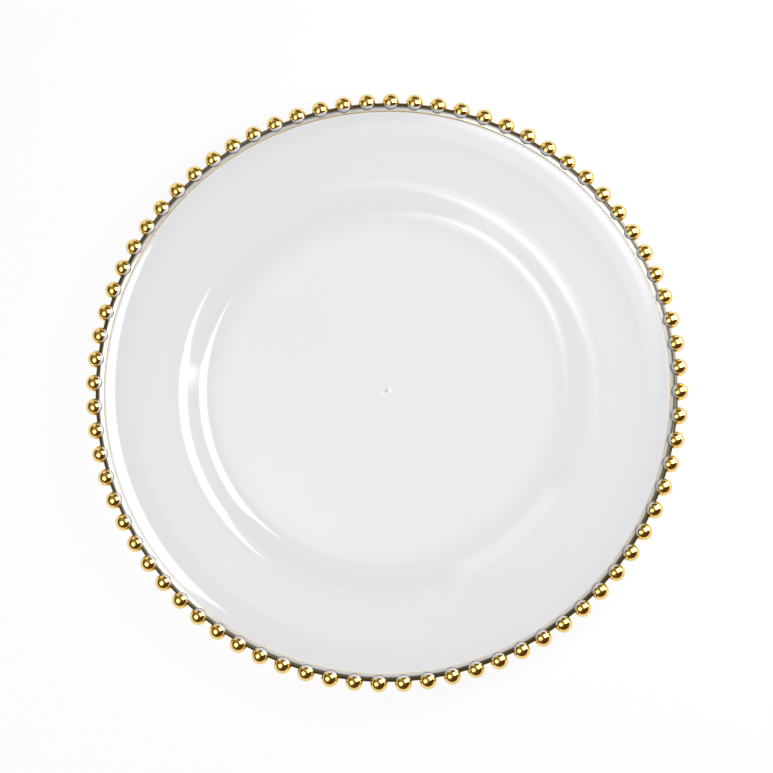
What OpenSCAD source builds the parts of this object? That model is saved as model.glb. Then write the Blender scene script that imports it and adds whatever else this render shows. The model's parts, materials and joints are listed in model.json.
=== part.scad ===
// Round clear charger plate with a beaded metallised rim.
// The origin is on the table under the plate's centre, and +Z is up.
// Radii are measured from the plate's axis, which is Z.

/* [Plate] */
// Overall diameter across the beads
plate_d = 330; // [316:1:400]
// Thickness of the clear wall
wall = 2.5; // [2:0.1:2.9]
// Radius where the well's floor and wall would meet as a sharp corner
floor_r = 100.5; // [88:0.5:102]
// Radial run of the well's wall, from that corner to the corner with the rim
well_run = 13; // [10:0.1:17]
// Depth of the well below the rim's corner
well_depth = 9.8; // [8:0.1:12]
// Rise of the broad rim above level, in degrees
rim_angle = 3; // [1:0.5:6]
// Slope of the raised lip, in degrees
lip_angle = 27; // [20:1:34]
// Radial run of the raised lip
lip_run = 7.8; // [6.5:0.1:9]
// Clear ledge between the lip and the edge band
ledge_w = 1.2; // [1.1:0.1:4]

/* [Edge band] */
// Width of the band, seen from above
band_w = 4.4; // [3.4:0.1:5.5]
// Thickness of the band's lower flange and outer web
band_wall = 0.4; // [0.3:0.05:0.8]
// Width of the outer bevel of the band's roof-shaped top
bevel_w = 1.8; // [1.2:0.1:2.4]
// Slope of the inner side of that top, in degrees
roof_angle = 25; // [15:1:30]
// Slope of its outer bevel, in degrees
bevel_angle = 30; // [15:1:32]

/* [Beads] */
// Number of beads round the rim
bead_count = 76; // [24:4:88]
// Diameter of a bead
bead_d = 9.6; // [8.6:0.1:11.5]
// How far the band's outer face stops short of the circle of bead centres
bead_overhang = 0.8; // [0.3:0.1:1.5]
// Height of the bead centres above the middle of the ledge
bead_rise = 0.6; // [0:0.1:1]

/* [Hidden] */
// Inner radii of the bends of the wall beside the floor, the rim and the ledge
floor_bend_r = 12.5;
shoulder_bend_r = 13;
ledge_bend_r = 0.8;
// Share of the lip's slope that its wide bend with the rim takes up
lip_bend_share = 0.84;
// Thickness of the band's top at its inner edge
band_lip = 0.15;
// Rounding of the band's ridge and of its outer upper corner, and chamfer of its lower corner
ridge_round = 1;
corner_round = 0.4;
band_chamfer = 0.25;
// Film of glue between the band and the plate's edge, and between a bead and the band
glue_gap = 0.1;
// Shallow round dish under the floor's centre, and the trimmed gate that stands in it
dish_r = 3.2;
dish_h = 0.4;
gate_r = 0.9;
gate_h = 0.25;
// Overrun of a cut past the face that it opens
cut_over = 1;
// Flats of the drawn circles, and steps of a wide and of a narrow bend
$fn = 96;
bend_steps = 10;
round_steps = 4;

// Circle of bead centres, and the band and plate edge that it carries
ring_r = plate_d / 2 - bead_d / 2;
band_outer_r = ring_r - bead_overhang;
band_inner_r = band_outer_r - band_w;
ridge_r = band_outer_r - bevel_w;
edge_r = band_outer_r - band_wall - glue_gap;
ledge_r = band_inner_r - ledge_w;
lip_r = ledge_r - lip_run;

// Heights of the upper surface at the sharp corners of its outline
floor_z = wall;
shoulder_r = floor_r + well_run;
shoulder_z = floor_z + well_depth;
lip_z = shoulder_z + (lip_r - shoulder_r) * tan(rim_angle);
ledge_z = lip_z + lip_run * tan(lip_angle);
well_angle = atan2(well_depth, well_run);
lip_bend_r = lip_bend_share * lip_run / cos(lip_angle) / tan((lip_angle - rim_angle) / 2);

// Heights of the band's foot, ridge and underside, and of the bead centres
roof_z = ledge_z + band_lip;
ridge_z = roof_z + (ridge_r - band_inner_r) * tan(roof_angle);
band_z = ledge_z - wall - band_wall;
bead_z = ledge_z - wall / 2 + bead_rise;

// Upward normal of a surface that climbs at an angle
function up(angle) = [-sin(angle), cos(angle)];

// Points of a round at a sharp corner, where a surface turns from one slope to another.
// A depth moves the points that far below the surface.
function turn(corner, from, to, r, depth, steps) =
    let (
        side = to > from ? 1 : -1,
        run = r * tan(abs(to - from) / 2),
        start = corner - run * [cos(from), sin(from)],
        centre = start + side * r * up(from)
    )
    [for (i = [0 : steps])
        centre - (side * r + depth) * up(from + (to - from) * i / steps)];

// Points of a bend in the wall, on its upper face or at a depth below that face
function bend(corner, from, to, inner_r, depth) =
    turn(corner, from, to, to > from ? inner_r : inner_r + wall, depth, bend_steps);

// One skin of the plate from the first bend to the plate's edge
function skin(depth) = concat(
    bend([floor_r, floor_z], 0, well_angle, floor_bend_r, depth),
    bend([shoulder_r, shoulder_z], well_angle, rim_angle, shoulder_bend_r, depth),
    bend([lip_r, lip_z], rim_angle, lip_angle, lip_bend_r, depth),
    bend([ledge_r, ledge_z], lip_angle, 0, ledge_bend_r, depth),
    [[edge_r, ledge_z - depth]]
);

function reversed(points) = [for (i = [len(points) - 1 : -1 : 0]) points[i]];

// Half section of the clear plate
module plate_section() {
    polygon(concat(
        [[0, floor_z]],
        skin(0),
        reversed(skin(wall)),
        [[0, 0]]
    ));
}

// Clear moulded dish with its well, rim, raised lip and ledge.
// It stands on its flat underside, where the trimmed gate is sunk in a shallow dish.
module plate_body() {
    dish_ball_r = (dish_r * dish_r + dish_h * dish_h) / (2 * dish_h);
    color("gainsboro") {
        difference() {
            rotate_extrude() plate_section();
            translate([0, 0, dish_h - dish_ball_r])
                sphere(r = dish_ball_r);
        }
        translate([0, 0, dish_h - gate_h])
            cylinder(r = gate_r, h = gate_h + wall / 2);
    }
}

// Sharp corner of the band's ridge, and of its outer bevel with its outer face.
// A margin moves both faces of the corner out by that much.
function ridge_corner(margin) = [ridge_r, ridge_z + margin / cos(bevel_angle)];
function outer_corner(margin) = ridge_corner(margin) + (bevel_w + margin) * [1, -tan(bevel_angle)];

// Half section of the edge band, a channel that holds the ledge between its top and its flange
module band_section() {
    web_r = band_outer_r - band_wall;
    polygon(concat(
        [[band_inner_r, roof_z]],
        turn(ridge_corner(0), roof_angle, -bevel_angle, ridge_round, 0, round_steps),
        turn(outer_corner(0), -bevel_angle, -90, corner_round, 0, round_steps),
        [
            [band_outer_r, band_z + band_chamfer],
            [band_outer_r - band_chamfer, band_z],
            [band_inner_r, band_z],
            [band_inner_r, ledge_z - wall],
            [web_r, ledge_z - wall],
            [web_r, ledge_z],
            [band_inner_r, ledge_z]
        ]
    ));
}

// Metallised band round the plate's edge
module edge_band() {
    color("goldenrod")
        rotate_extrude() band_section();
}

// Half section of the space that the band and the ledge need inside a bead
module slot_section() {
    inner_r = min(band_inner_r, ring_r - bead_d / 2) - cut_over;
    foot_z = ridge_corner(glue_gap)[1] - (ridge_r - band_inner_r) * tan(roof_angle);
    polygon([
        [inner_r, foot_z],
        [band_inner_r, foot_z],
        ridge_corner(glue_gap),
        outer_corner(glue_gap),
        [band_outer_r + glue_gap, band_z - glue_gap],
        [inner_r, band_z - glue_gap]
    ]);
}

// One bead with the slot that slides over the band, its centre on +X
module rim_bead() {
    difference() {
        translate([ring_r, 0, bead_z])
            sphere(d = bead_d);
        rotate_extrude() slot_section();
    }
}

// Metallised beads, evenly spaced, each gripping the band with its slot
module rim_beads() {
    color("gold")
        for (i = [0 : bead_count - 1])
            rotate([0, 0, i * 360 / bead_count])
                rim_bead();
}

plate_body();
edge_band();
rim_beads();
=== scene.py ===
import json
import math

import bmesh
import bpy
from mathutils import Matrix, Vector


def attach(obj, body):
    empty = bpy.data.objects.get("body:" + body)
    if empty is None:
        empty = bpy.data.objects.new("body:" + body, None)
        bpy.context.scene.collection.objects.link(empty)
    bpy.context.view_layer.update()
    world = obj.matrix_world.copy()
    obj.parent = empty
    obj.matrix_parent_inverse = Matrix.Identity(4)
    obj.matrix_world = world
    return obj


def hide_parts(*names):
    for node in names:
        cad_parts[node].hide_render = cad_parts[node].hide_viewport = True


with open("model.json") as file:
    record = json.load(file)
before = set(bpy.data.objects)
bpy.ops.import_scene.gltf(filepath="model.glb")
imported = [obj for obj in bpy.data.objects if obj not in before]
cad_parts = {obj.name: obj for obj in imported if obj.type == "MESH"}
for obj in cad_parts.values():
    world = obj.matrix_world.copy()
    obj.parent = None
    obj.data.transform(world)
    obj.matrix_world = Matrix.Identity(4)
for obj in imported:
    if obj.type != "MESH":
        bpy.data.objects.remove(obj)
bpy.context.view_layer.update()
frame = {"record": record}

# Clear plate
# The real piece is one clear plastic moulding, about 2.5 mm thick all over: a flat floor, an
# S-curved well wall, a broad rim, a raised lip and a narrow ledge that carries the edge band.
# It lies on its flat underside, where the trimmed moulding gate stands in a shallow dish.
mm = 0.001
wall = 2.5 * mm
floor_corner_r = 100.5 * mm
shoulder_corner_r = 113.5 * mm
well_depth = 9.8 * mm
rim_slope = math.radians(3)
lip_slope = math.radians(27)
lip_run = 7.8 * mm
ledge_width = 1.2 * mm
floor_bend_r = 12.5 * mm
shoulder_bend_r = 13 * mm
lip_bend_share = 0.84
lip_bend_r = lip_bend_share * lip_run / math.cos(lip_slope) / math.tan((lip_slope - rim_slope) / 2)
ledge_bend_r = 0.8 * mm
bend_steps = 20
ledge_bend_steps = 10
dish_r = 3.2 * mm
dish_height = 0.4 * mm
gate_r = 0.9 * mm
gate_height = 0.25 * mm
glue_gap = 0.1 * mm
band_width = 4.4 * mm
band_wall = 0.4 * mm
bead_overhang = 0.8 * mm
bead_d = 9.6 * mm

bead_ring_r = frame["record"]["size"]["bbox_m"][0] / 2 - bead_d / 2
band_outer_r = bead_ring_r - bead_overhang
band_inner_r = band_outer_r - band_width
plate_edge_r = band_outer_r - band_wall - glue_gap
ledge_corner_r = band_inner_r - ledge_width
lip_corner_r = ledge_corner_r - lip_run

floor_z = wall
shoulder_z = floor_z + well_depth
lip_z = shoulder_z + (lip_corner_r - shoulder_corner_r) * math.tan(rim_slope)
ledge_z = lip_z + lip_run * math.tan(lip_slope)
well_slope = math.atan2(well_depth, shoulder_corner_r - floor_corner_r)


def rounded(corner, from_slope, to_slope, r, depth, steps):
    """Points of a round where an outline turns from one slope to another, or a depth below it."""
    side = 1 if to_slope > from_slope else -1
    run = r * math.tan(abs(to_slope - from_slope) / 2)
    start = Vector(corner) - run * Vector((math.cos(from_slope), math.sin(from_slope)))
    centre = start + side * r * Vector((-math.sin(from_slope), math.cos(from_slope)))
    slopes = [from_slope + (to_slope - from_slope) * i / steps for i in range(steps + 1)]
    return [centre - (side * r + depth) * Vector((-math.sin(a), math.cos(a))) for a in slopes]


def bend(corner, from_slope, to_slope, inner_r, depth, steps):
    """Points of a bend in the plate's wall, on its upper face or at a depth below that face."""
    r = inner_r if to_slope > from_slope else inner_r + wall
    return rounded(corner, from_slope, to_slope, r, depth, steps)


def plate_face(depth):
    """Outline of one face of the plate's wall, from the floor's edge to the plate's edge."""
    floor_corner = (floor_corner_r, floor_z)
    shoulder = (shoulder_corner_r, shoulder_z)
    lip_corner = (lip_corner_r, lip_z)
    ledge_corner = (ledge_corner_r, ledge_z)
    return (
        bend(floor_corner, 0, well_slope, floor_bend_r, depth, bend_steps)
        + bend(shoulder, well_slope, rim_slope, shoulder_bend_r, depth, bend_steps)
        + bend(lip_corner, rim_slope, lip_slope, lip_bend_r, depth, bend_steps)
        + bend(ledge_corner, lip_slope, 0, ledge_bend_r, depth, ledge_bend_steps)
        + [Vector((plate_edge_r, ledge_z - depth))]
    )


long_run = 4 * mm
support_gap = 0.3 * mm


def with_supports(outline):
    """The outline with a point close to each end of its long runs, so that these shade flat."""
    points = []
    for here, after in zip(outline, outline[1:] + outline[:1]):
        points.append(here)
        length = (after - here).length
        if length > long_run:
            share = support_gap / length
            points += [here.lerp(after, share), here.lerp(after, 1 - share)]
    return points


on_axis = 1e-7


def lathe(name, outline, segments, closed):
    """A turned piece about Z from points (r, z). Points on the axis become single poles."""
    shape = bmesh.new()
    rings = []
    for r, z in outline:
        if r < on_axis:
            rings.append([shape.verts.new((0, 0, z))])
        else:
            turns = [2 * math.pi * k / segments for k in range(segments)]
            rings.append([shape.verts.new((r * math.cos(t), r * math.sin(t), z)) for t in turns])
    pairs = list(zip(rings, rings[1:] + rings[:1] if closed else rings[1:]))
    for lower, upper in pairs:
        for k in range(segments):
            after = (k + 1) % segments
            if len(lower) == 1 and len(upper) == 1:
                continue
            if len(lower) == 1:
                shape.faces.new((lower[0], upper[k], upper[after]))
            elif len(upper) == 1:
                shape.faces.new((lower[k], upper[0], lower[after]))
            else:
                shape.faces.new((lower[k], upper[k], upper[after], lower[after]))
    bmesh.ops.recalc_face_normals(shape, faces=shape.faces)
    mesh = bpy.data.meshes.new(name)
    shape.to_mesh(mesh)
    shape.free()
    piece = bpy.data.objects.new(name, mesh)
    bpy.context.scene.collection.objects.link(piece)
    return piece


def shade(piece, crease_deg):
    """Smooth shading, with the edges that turn by more than the crease kept sharp."""
    for face in piece.data.polygons:
        face.use_smooth = True
    piece.data.set_sharp_from_angle(angle=math.radians(crease_deg))


dish_ball_r = (dish_r ** 2 + dish_height ** 2) / (2 * dish_height)
dish_steps = [dish_r + (gate_r - dish_r) * i / 8 for i in range(9)]
dish_centre_z = dish_height - dish_ball_r
dish = [Vector((r, dish_centre_z + math.sqrt(dish_ball_r ** 2 - r ** 2))) for r in dish_steps]
gate_face_z = dish_height - gate_height
gate = [Vector((gate_r, gate_face_z)), Vector((0, gate_face_z))]
plate_outline = [Vector((0, floor_z))] + plate_face(0) + plate_face(wall)[::-1] + dish + gate
plate_segments = 360
plate = lathe("clear_plate", with_supports(plate_outline), plate_segments, False)
shade(plate, 30)


def new_material(name):
    """A material with its Principled shader and its output, and a short way to add nodes."""
    material = bpy.data.materials.new(name)
    material.use_nodes = True
    nodes = material.node_tree.nodes
    links = material.node_tree.links
    return material, nodes, links, nodes["Principled BSDF"], nodes["Material Output"]


def add_noise(nodes, links, scale, detail):
    """Noise in the piece's own coordinates, so that it stays with the piece."""
    place = nodes.new("ShaderNodeTexCoord")
    noise = nodes.new("ShaderNodeTexNoise")
    noise.inputs["Scale"].default_value = scale
    noise.inputs["Detail"].default_value = detail
    links.new(place.outputs["Object"], noise.inputs["Vector"])
    return noise.outputs["Fac"]


def add_range(nodes, links, source, from_low, from_high, to_low, to_high):
    """A value carried from one range to another, eased and clamped at both ends."""
    ranged = nodes.new("ShaderNodeMapRange")
    ranged.interpolation_type = "SMOOTHSTEP"
    ranged.inputs["From Min"].default_value = from_low
    ranged.inputs["From Max"].default_value = from_high
    ranged.inputs["To Min"].default_value = to_low
    ranged.inputs["To Max"].default_value = to_high
    links.new(source, ranged.inputs["Value"])
    return ranged.outputs[0]


def add_radius(nodes, links):
    """Distance from the plate's axis."""
    place = nodes.new("ShaderNodeTexCoord")
    flat = nodes.new("ShaderNodeVectorMath")
    flat.operation = "MULTIPLY"
    flat.inputs[1].default_value = (1, 1, 0)
    links.new(place.outputs["Object"], flat.inputs[0])
    length = nodes.new("ShaderNodeVectorMath")
    length.operation = "LENGTH"
    links.new(flat.outputs[0], length.inputs[0])
    return length.outputs["Value"]


def add_tint(nodes, links, share, first, second):
    """A colour between two colours."""
    tint = nodes.new("ShaderNodeMix")
    tint.data_type = "RGBA"
    tint.inputs[6].default_value = first
    tint.inputs[7].default_value = second
    links.new(share, tint.inputs[0])
    return tint.outputs[2]


def add_bands(nodes, links, share, stops):
    """Colours that follow each other along a share from zero to one."""
    bands = nodes.new("ShaderNodeValToRGB")
    links.new(share, bands.inputs[0])
    ramp = bands.color_ramp
    ramp.elements.remove(ramp.elements[1])
    ramp.elements[0].position, ramp.elements[0].color = stops[0]
    for position, colour in stops[1:]:
        ramp.elements.new(position).color = colour
    return bands.outputs[0]


def add_bump(nodes, links, height, depth, shader):
    """A fine unevenness of the shader's surface."""
    bump = nodes.new("ShaderNodeBump")
    bump.inputs["Distance"].default_value = depth
    links.new(height, bump.inputs["Height"])
    links.new(bump.outputs[0], shader.inputs["Normal"])


clear, nodes, links, plastic, surface = new_material("clear_plastic")
plastic.inputs["Transmission Weight"].default_value = 1.0
plastic.inputs["IOR"].default_value = 1.49
# The grey changes with the distance from the axis, in mm, and leans a little to blue. The slight
# grey-blue is the plastic's own tint; the drop from the floor to the rim, deepest near 98 mm where
# the wall rises and near 147 mm under the lip, is painted shade.
tint_and_shade_by_r = [
    (80, 0.862),
    (88, 0.858),
    (98, 0.815),
    (106, 0.822),
    (114, 0.834),
    (136, 0.83),
    (147, 0.818),
    (160, 0.825),
]
first_r = tint_and_shade_by_r[0][0]
last_r = tint_and_shade_by_r[-1][0]
across = add_range(nodes, links, add_radius(nodes, links), first_r * mm, last_r * mm, 0, 1)
across.node.interpolation_type = "LINEAR"
tint_and_shade_stops = [
    ((r - first_r) / (last_r - first_r), (grey * 0.99, grey * 0.995, grey * 1.02, 1))
    for r, grey in tint_and_shade_by_r
]
at_gate = add_range(nodes, links, add_radius(nodes, links), 0.5 * mm, 1.1 * mm, 0, 1)
past_gate = add_tint(nodes, links, at_gate, (0.6, 0.6, 0.62, 1), (0, 0, 0, 1))
links.new(add_bands(nodes, links, across, tint_and_shade_stops), past_gate.node.inputs[7])
links.new(past_gate, plastic.inputs["Base Color"])
haze = add_noise(nodes, links, 60, 3)
links.new(add_range(nodes, links, haze, 0.35, 0.75, 0.01, 0.06), plastic.inputs["Roughness"])
add_bump(nodes, links, add_noise(nodes, links, 45, 1), 0.03 * mm, plastic)
light_path = nodes.new("ShaderNodeLightPath")
let_through = nodes.new("ShaderNodeBsdfTransparent")
let_through.inputs["Color"].default_value = (0.92, 0.92, 0.93, 1)
for_lamps = nodes.new("ShaderNodeMixShader")
links.new(light_path.outputs["Is Shadow Ray"], for_lamps.inputs[0])
links.new(plastic.outputs[0], for_lamps.inputs[1])
links.new(let_through.outputs[0], for_lamps.inputs[2])
links.new(for_lamps.outputs[0], surface.inputs["Surface"])
plate.data.materials.append(clear)
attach(plate, "root")
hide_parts("plate_body")

# Edge band
# The real piece is a narrow metallised strip that holds the plate's ledge like a channel.
# Its roof-shaped top shows between the beads: a thin gold line at its inner edge, a silver slope,
# then short dark olive bars with a pale gold outer edge. The silver's darkening towards the bars
# and the dark olive of the bars are painted shade, where the beads close the band in.
bevel_width = 1.8 * mm
roof_slope = math.radians(25)
bevel_slope = math.radians(30)
band_lip = 0.15 * mm
ridge_round = 1 * mm
corner_round = 0.4 * mm
band_chamfer = 0.25 * mm

ridge_r = band_outer_r - bevel_width
roof_foot_z = ledge_z + band_lip
ridge_z = roof_foot_z + (ridge_r - band_inner_r) * math.tan(roof_slope)
band_bottom = ledge_z - wall - band_wall
web_r = band_outer_r - band_wall


def band_corners(margin):
    """The band's ridge and its outer upper corner, with both faces moved out by the margin."""
    ridge = Vector((ridge_r, ridge_z + margin / math.cos(bevel_slope)))
    return ridge, ridge + (bevel_width + margin) * Vector((1, -math.tan(bevel_slope)))


ridge, outer_corner = band_corners(0)
band_outline = (
    [(band_inner_r, roof_foot_z)]
    + rounded(ridge, roof_slope, -bevel_slope, ridge_round, 0, 8)
    + rounded(outer_corner, -bevel_slope, -math.pi / 2, corner_round, 0, 6)
    + [
        (band_outer_r, band_bottom + band_chamfer),
        (band_outer_r - band_chamfer, band_bottom),
        (band_inner_r, band_bottom),
        (band_inner_r, ledge_z - wall),
        (web_r, ledge_z - wall),
        (web_r, ledge_z),
        (band_inner_r, ledge_z),
    ]
)
band_segments = 456
band = lathe("gold_band", band_outline, band_segments, True)
shade(band, 35)

gold, nodes, links, metal, surface = new_material("band_metallising")
across = add_range(nodes, links, add_radius(nodes, links), band_inner_r, band_outer_r, 0, 1)
across.node.interpolation_type = "LINEAR"
silver_end, shaded_bar_start = 0.38, 0.47
# Painted shade: the silver darkens past 0.25 of the way across, and from 0.47 to 0.94 the bars are
# near black olive.
stripes = [
    (0.0, (0.95, 0.72, 0.30, 1)),
    (0.035, (0.95, 0.72, 0.30, 1)),
    (0.08, (0.72, 0.72, 0.73, 1)),
    (0.25, (0.66, 0.66, 0.68, 1)),
    (silver_end, (0.40, 0.40, 0.42, 1)),
    (shaded_bar_start, (0.07, 0.052, 0.012, 1)),
    (0.94, (0.07, 0.052, 0.012, 1)),
    (0.985, (0.85, 0.75, 0.45, 1)),
]
links.new(add_bands(nodes, links, across, stripes), metal.inputs["Base Color"])
metal.inputs["Metallic"].default_value = 0.25
silver_roughness, shaded_bar_roughness = 0.12, 0.3
links.new(
    add_range(
        nodes, links, across, silver_end, shaded_bar_start, silver_roughness, shaded_bar_roughness
    ),
    metal.inputs["Roughness"],
)
metal.inputs["Coat Weight"].default_value = 1.0
metal.inputs["Coat Roughness"].default_value = 0.1
add_bump(nodes, links, add_noise(nodes, links, 900, 2), 0.01 * mm, metal)
band.data.materials.append(gold)
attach(band, "root")
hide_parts("edge_band")

# Rim beads
# The real pieces are 76 metallised plastic beads, each slotted over the band.
# Their gold ends at a masked line, so the side that faces the plate is satin silver. Where that
# side meets the band its silver is darkened with painted shade.
bead_count = 76
bead_rise = 0.6 * mm
bead_z = ledge_z - wall / 2 + bead_rise

slot_ridge, slot_corner = band_corners(glue_gap)
cut_over = 1 * mm
slot_inner_r = min(band_inner_r, bead_ring_r - bead_d / 2) - cut_over
slot_foot_z = slot_ridge.y - (ridge_r - band_inner_r) * math.tan(roof_slope)
slot_outline = [
    (slot_inner_r, slot_foot_z),
    (band_inner_r, slot_foot_z),
    slot_ridge,
    slot_corner,
    (band_outer_r + glue_gap, band_bottom - glue_gap),
    (slot_inner_r, band_bottom - glue_gap),
]
slot_segments = 608
slot_ring = lathe("slot_ring", slot_outline, slot_segments, True)

beads_tree = bpy.data.node_groups.new("bead_ring", "GeometryNodeTree")
sizes = {
    "Bead count": ("NodeSocketInt", bead_count),
    "Bead diameter": ("NodeSocketFloat", bead_d),
    "Ring radius": ("NodeSocketFloat", bead_ring_r),
    "Bead height": ("NodeSocketFloat", bead_z),
    "Slot ring": ("NodeSocketObject", slot_ring),
}
tree_sockets = {}
for label, (kind, value) in sizes.items():
    tree_sockets[label] = beads_tree.interface.new_socket(label, in_out="INPUT", socket_type=kind)
beads_tree.interface.new_socket("Geometry", in_out="OUTPUT", socket_type="NodeSocketGeometry")
tree_in = beads_tree.nodes.new("NodeGroupInput")
tree_out = beads_tree.nodes.new("NodeGroupOutput")


def tree_node(kind, **settings):
    node = beads_tree.nodes.new(kind)
    for name, value in settings.items():
        setattr(node, name, value)
    return node


def join(from_socket, to_socket):
    beads_tree.links.new(from_socket, to_socket)


def half_of(socket):
    half = tree_node("ShaderNodeMath", operation="MULTIPLY")
    join(socket, half.inputs[0])
    half.inputs[1].default_value = 0.5
    return half.outputs[0]


ball = tree_node("GeometryNodeMeshUVSphere")
ball.inputs["Segments"].default_value = 40
ball.inputs["Rings"].default_value = 24
join(half_of(tree_in.outputs["Bead diameter"]), ball.inputs["Radius"])
ball_place = tree_node("ShaderNodeCombineXYZ")
join(tree_in.outputs["Ring radius"], ball_place.inputs["X"])
join(tree_in.outputs["Bead height"], ball_place.inputs["Z"])
ball_move = tree_node("GeometryNodeTransform")
join(ball.outputs["Mesh"], ball_move.inputs["Geometry"])
join(ball_place.outputs[0], ball_move.inputs["Translation"])
ball_smooth = tree_node("GeometryNodeSetShadeSmooth")
join(ball_move.outputs[0], ball_smooth.inputs["Geometry"])

slot_shape = tree_node("GeometryNodeObjectInfo")
join(tree_in.outputs["Slot ring"], slot_shape.inputs["Object"])
cut = tree_node("GeometryNodeMeshBoolean", operation="DIFFERENCE", solver="EXACT")
join(ball_smooth.outputs[0], cut.inputs["Mesh 1"])
join(slot_shape.outputs["Geometry"], cut.inputs["Mesh 2"])

seats = tree_node("GeometryNodePoints")
join(tree_in.outputs["Bead count"], seats.inputs["Count"])
number = tree_node("GeometryNodeInputIndex")
share = tree_node("ShaderNodeMath", operation="DIVIDE")
join(number.outputs[0], share.inputs[0])
join(tree_in.outputs["Bead count"], share.inputs[1])
turn = tree_node("ShaderNodeMath", operation="MULTIPLY")
join(share.outputs[0], turn.inputs[0])
turn.inputs[1].default_value = 2 * math.pi
turn_z = tree_node("ShaderNodeCombineXYZ")
join(turn.outputs[0], turn_z.inputs["Z"])
string_on = tree_node("GeometryNodeInstanceOnPoints")
join(seats.outputs[0], string_on.inputs["Points"])
join(cut.outputs[0], string_on.inputs["Instance"])
join(turn_z.outputs[0], string_on.inputs["Rotation"])
make_real = tree_node("GeometryNodeRealizeInstances")
join(string_on.outputs[0], make_real.inputs[0])

bead_metal, nodes, links, metal, surface = new_material("bead_metallising")
from_axis = add_radius(nodes, links)
place = nodes.new("ShaderNodeTexCoord")
height = nodes.new("ShaderNodeSeparateXYZ")
links.new(place.outputs["Object"], height.inputs[0])
mask_tilt = 0.78
mask_line = nodes.new("ShaderNodeMath")
mask_line.operation = "MULTIPLY_ADD"
mask_line.inputs[1].default_value = mask_tilt
links.new(height.outputs["Z"], mask_line.inputs[0])
links.new(from_axis, mask_line.inputs[2])
mask_inset = 0.1 * mm
mask_level = bead_ring_r - mask_inset + mask_tilt * bead_z
mask_blur = 0.15 * mm
gilt = add_range(
    nodes, links, mask_line.outputs[0], mask_level - mask_blur, mask_level + mask_blur, 0, 1
)
# Painted shade: the silver turns dark brown within about 2.4 mm of the seat height and is light
# beyond 3.2 mm, for the shade where bead and band meet.
seat_z = bead_z - 0.7 * mm
above_seat = nodes.new("ShaderNodeMath")
above_seat.operation = "SUBTRACT"
above_seat.inputs[1].default_value = seat_z
links.new(height.outputs["Z"], above_seat.inputs[0])
from_seat = nodes.new("ShaderNodeMath")
from_seat.operation = "ABSOLUTE"
links.new(above_seat.outputs[0], from_seat.inputs[0])
seat_shade_full, seat_shade_end = 2.4 * mm, 3.2 * mm
past_seat = add_range(nodes, links, from_seat.outputs[0], seat_shade_full, seat_shade_end, 0, 1)
silver = add_tint(nodes, links, past_seat, (0.14, 0.12, 0.10, 1), (0.64, 0.63, 0.65, 1))
gilded = add_tint(nodes, links, gilt, (0, 0, 0, 1), (0.85, 0.58, 0.13, 1))
links.new(silver, gilded.node.inputs[6])
links.new(gilded, metal.inputs["Base Color"])
links.new(add_range(nodes, links, gilt, 0, 1, 0.25, 1), metal.inputs["Metallic"])
links.new(add_range(nodes, links, gilt, 0, 1, 0.5, 0.05), metal.inputs["Roughness"])
links.new(gilt, metal.inputs["Coat Weight"])
metal.inputs["Coat IOR"].default_value = 1.75
metal.inputs["Coat Roughness"].default_value = 0.05
add_bump(nodes, links, add_noise(nodes, links, 700, 2), 0.008 * mm, metal)

paint = tree_node("GeometryNodeSetMaterial")
paint.inputs["Material"].default_value = bead_metal
join(make_real.outputs[0], paint.inputs["Geometry"])
join(paint.outputs[0], tree_out.inputs[0])

bead_maker = bpy.data.objects.new("bead_maker", bpy.data.meshes.new("bead_maker"))
bpy.context.scene.collection.objects.link(bead_maker)
modifier = bead_maker.modifiers.new("beads", "NODES")
modifier.node_group = beads_tree
for label, (kind, value) in sizes.items():
    modifier[tree_sockets[label].identifier] = value
made = bead_maker.evaluated_get(bpy.context.evaluated_depsgraph_get())
bead_mesh = bpy.data.meshes.new_from_object(made)
bead_mesh.name = "gold_beads"
beads = bpy.data.objects.new("gold_beads", bead_mesh)
bpy.context.scene.collection.objects.link(beads)
bpy.data.objects.remove(bead_maker)
bpy.data.objects.remove(slot_ring)
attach(beads, "root")
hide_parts("rim_beads")

# Floor
# A plain white table top, a hair below the plate's flat underside so that the two never coincide.
# It is wide enough that its far edge stays out of the low views.
floor_size = 12.0
floor_top = -0.05 * mm
floor_mesh = bpy.data.meshes.new("floor")
half = floor_size / 2
floor_corners = [(x * half, y * half, floor_top) for x, y in ((-1, -1), (1, -1), (1, 1), (-1, 1))]
floor_mesh.from_pydata(floor_corners, [], [(0, 1, 2, 3)])
table_top = bpy.data.objects.new("floor", floor_mesh)
bpy.context.scene.collection.objects.link(table_top)
white, nodes, links, paper, surface = new_material("white_table")
nodes.remove(paper)


def add_seen(nodes, links):
    """One for rays from the camera, from metal and through the plastic, zero for other light."""
    light_path = nodes.new("ShaderNodeLightPath")
    seen = light_path.outputs["Is Camera Ray"]
    for kind in ("Is Glossy Ray", "Is Transmission Ray"):
        either = nodes.new("ShaderNodeMath")
        either.operation = "MAXIMUM"
        links.new(seen, either.inputs[0])
        links.new(light_path.outputs[kind], either.inputs[1])
        seen = either.outputs[0]
    return seen


matt = nodes.new("ShaderNodeBsdfDiffuse")
matt.inputs["Color"].default_value = (0.9, 0.9, 0.9, 1)
glow = nodes.new("ShaderNodeEmission")
glow.inputs["Color"].default_value = (1, 1, 1, 1)
blend = nodes.new("ShaderNodeMixShader")
seen_white = 0.88
links.new(add_range(nodes, links, add_seen(nodes, links), 0, 1, 0, seen_white), blend.inputs[0])
links.new(matt.outputs[0], blend.inputs[1])
links.new(glow.outputs[0], blend.inputs[2])
links.new(blend.outputs[0], surface.inputs["Surface"])
floor_mesh.materials.append(white)

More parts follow.
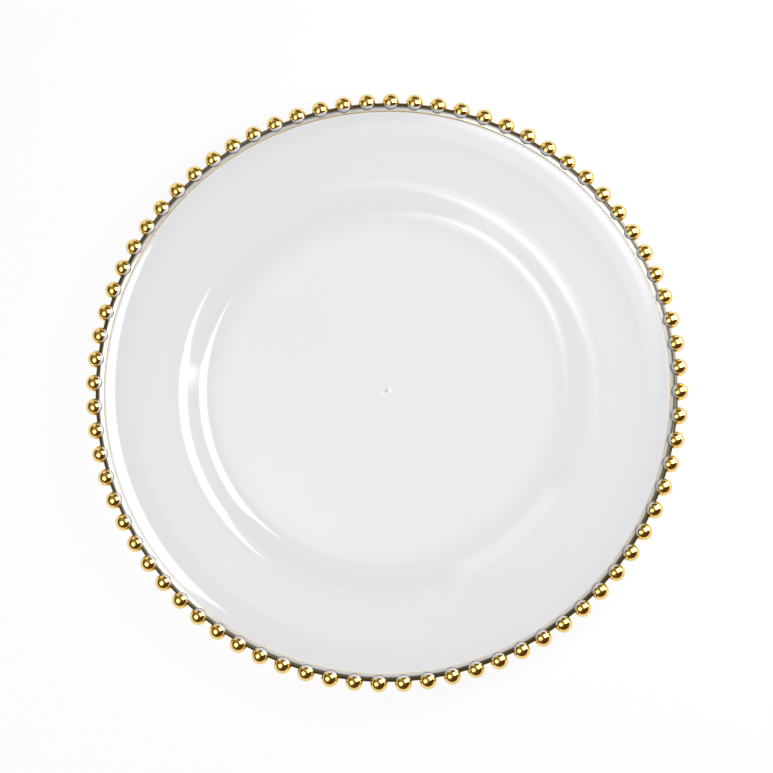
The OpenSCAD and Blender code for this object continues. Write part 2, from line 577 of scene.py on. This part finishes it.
# Studio
# A large softbox and a low one at the right, one at the left and a weak one behind, in a dim brown
# room with a bright patch on its ceiling. The beads and the clear plate mirror them all.
world = bpy.data.worlds.new("studio")
bpy.context.scene.world = world
world.use_nodes = True
nodes = world.node_tree.nodes
links = world.node_tree.links
nodes["Background"].inputs["Color"].default_value = (1, 1, 1, 1)
links.new(
    add_range(nodes, links, add_seen(nodes, links), 0, 1, 0.25, 1),
    nodes["Background"].inputs["Strength"],
)

room_r = 1.6
room_mesh = bpy.data.meshes.new("room")
dome = bmesh.new()
bmesh.ops.create_uvsphere(dome, u_segments=48, v_segments=24, radius=room_r)
low = [v for v in dome.verts if v.co.z < mm]
bmesh.ops.delete(dome, geom=low, context="VERTS")
dome.to_mesh(room_mesh)
dome.free()
room = bpy.data.objects.new("room", room_mesh)
bpy.context.scene.collection.objects.link(room)
walls, nodes, links, paper, surface = new_material("room")
nodes.remove(paper)
place = nodes.new("ShaderNodeTexCoord")
corner = nodes.new("ShaderNodeVectorMath")
corner.operation = "DOT_PRODUCT"
towards_corner = Vector((0.664, -0.664, 0.342))
corner.inputs[1].default_value = towards_corner / room_r
links.new(place.outputs["Object"], corner.inputs[0])
in_corner = add_range(nodes, links, corner.outputs["Value"], 0.2, 0.85, 0, 1)
height = nodes.new("ShaderNodeSeparateXYZ")
links.new(place.outputs["Object"], height.inputs[0])
dim_below, bright_above = 0.35, 1.3
heights = add_range(nodes, links, height.outputs["Z"], dim_below, bright_above, 0, 1)
wall_tint = add_tint(nodes, links, heights, (0.06, 0.045, 0.02, 1), (0.33, 0.28, 0.20, 1))
with_corner = add_tint(nodes, links, in_corner, (0, 0, 0, 1), (0.10, 0.055, 0.03, 1))
links.new(wall_tint, with_corner.node.inputs[6])
bounce = nodes.new("ShaderNodeVectorMath")
bounce.operation = "DOT_PRODUCT"
towards_bounce = Vector((-0.345, -0.216, 0.914))
bounce.inputs[1].default_value = towards_bounce / room_r
links.new(place.outputs["Object"], bounce.inputs[0])
near_bounce = add_range(nodes, links, bounce.outputs["Value"], 0.90, 0.99, 0, 1)
with_bounce = add_tint(nodes, links, near_bounce, (0, 0, 0, 1), (1.3, 1.25, 1.15, 1))
links.new(with_corner, with_bounce.node.inputs[6])
dim = nodes.new("ShaderNodeEmission")
links.new(with_bounce, dim.inputs["Color"])
links.new(dim.outputs[0], surface.inputs["Surface"])
room_mesh.materials.append(walls)
room.visible_camera = False
room.visible_diffuse = False
room.visible_shadow = False

target = Vector((0, 0, bead_z))


def lamp(name, azimuth, elevation, distance, width, height, radiance, soft):
    """A lamp that faces the plate, its width level, and fades over the soft share of each side."""
    data = bpy.data.lights.new(name, "AREA")
    data.shape = "RECTANGLE"
    data.size = width
    data.size_y = height
    data.energy = radiance * math.pi * width * height
    data.use_nodes = True
    nodes = data.node_tree.nodes
    links = data.node_tree.links
    across = nodes.new("ShaderNodeSeparateXYZ")
    links.new(nodes.new("ShaderNodeNewGeometry").outputs["Parametric"], across.inputs[0])
    fades = []
    for side in ("X", "Y"):
        from_middle = nodes.new("ShaderNodeMath")
        from_middle.operation = "PINGPONG"
        from_middle.inputs[1].default_value = 0.5
        links.new(across.outputs[side], from_middle.inputs[0])
        fades.append(add_range(nodes, links, from_middle.outputs[0], 0, soft / 2, 0, 1))
    both = nodes.new("ShaderNodeMath")
    both.operation = "MULTIPLY"
    links.new(fades[0], both.inputs[0])
    links.new(fades[1], both.inputs[1])
    links.new(both.outputs[0], nodes["Emission"].inputs["Strength"])
    holder = bpy.data.objects.new(name, data)
    bpy.context.scene.collection.objects.link(holder)
    turn, rise = math.radians(azimuth), math.radians(elevation)
    way = Vector((math.cos(rise) * math.cos(turn), math.cos(rise) * math.sin(turn), math.sin(rise)))
    holder.location = target + distance * way
    holder.rotation_euler = way.to_track_quat("Z", "Y").to_euler()
    holder.visible_camera = False
    return holder


lamp("right_softbox", 25.5, 49.5, 0.6, 0.5, 0.48, 5, 0.16)
lamp("right_low_softbox", 24, 11.5, 0.6, 0.46, 0.16, 8.5, 0.2)
lamp("left_softbox", 216, 50, 0.6, 0.56, 0.54, 2.6, 0.65)
lamp("back_softbox", 128, 18, 0.6, 0.42, 0.36, 0.9, 0.4)

# Camera
# It looks almost straight down, a little from the front right, as in the photograph.
photo_px = 773
lens_px = 1879.3
camera_distance = 1.0277
tilt_back = math.radians(7.07)
tilt_side = math.radians(2.71)
photo_turn = math.radians(1.178)
aim_px = (384.9, 387.25)
camera_data = bpy.data.cameras.new("photo_camera")
camera_data.sensor_width = 36
camera_data.lens = lens_px / photo_px * 36
camera_data.shift_x = (photo_px / 2 - aim_px[0]) / photo_px
camera_data.shift_y = (aim_px[1] - photo_px / 2) / photo_px
camera = bpy.data.objects.new("photo_camera", camera_data)
bpy.context.scene.collection.objects.link(camera)
view_turn = Matrix.Rotation(-tilt_back, 3, "X") @ Matrix.Rotation(-tilt_side, 3, "Y")
view_turn = Matrix.Rotation(photo_turn, 3, "Z") @ view_turn.transposed()
camera.matrix_world = Matrix.Translation(
    Vector((0, 0, bead_z)) + view_turn @ Vector((0, 0, camera_distance))
) @ view_turn.to_4x4()
camera_data.clip_end = 20
bpy.context.scene.camera = camera

bpy.context.scene.view_settings.view_transform = "Standard"
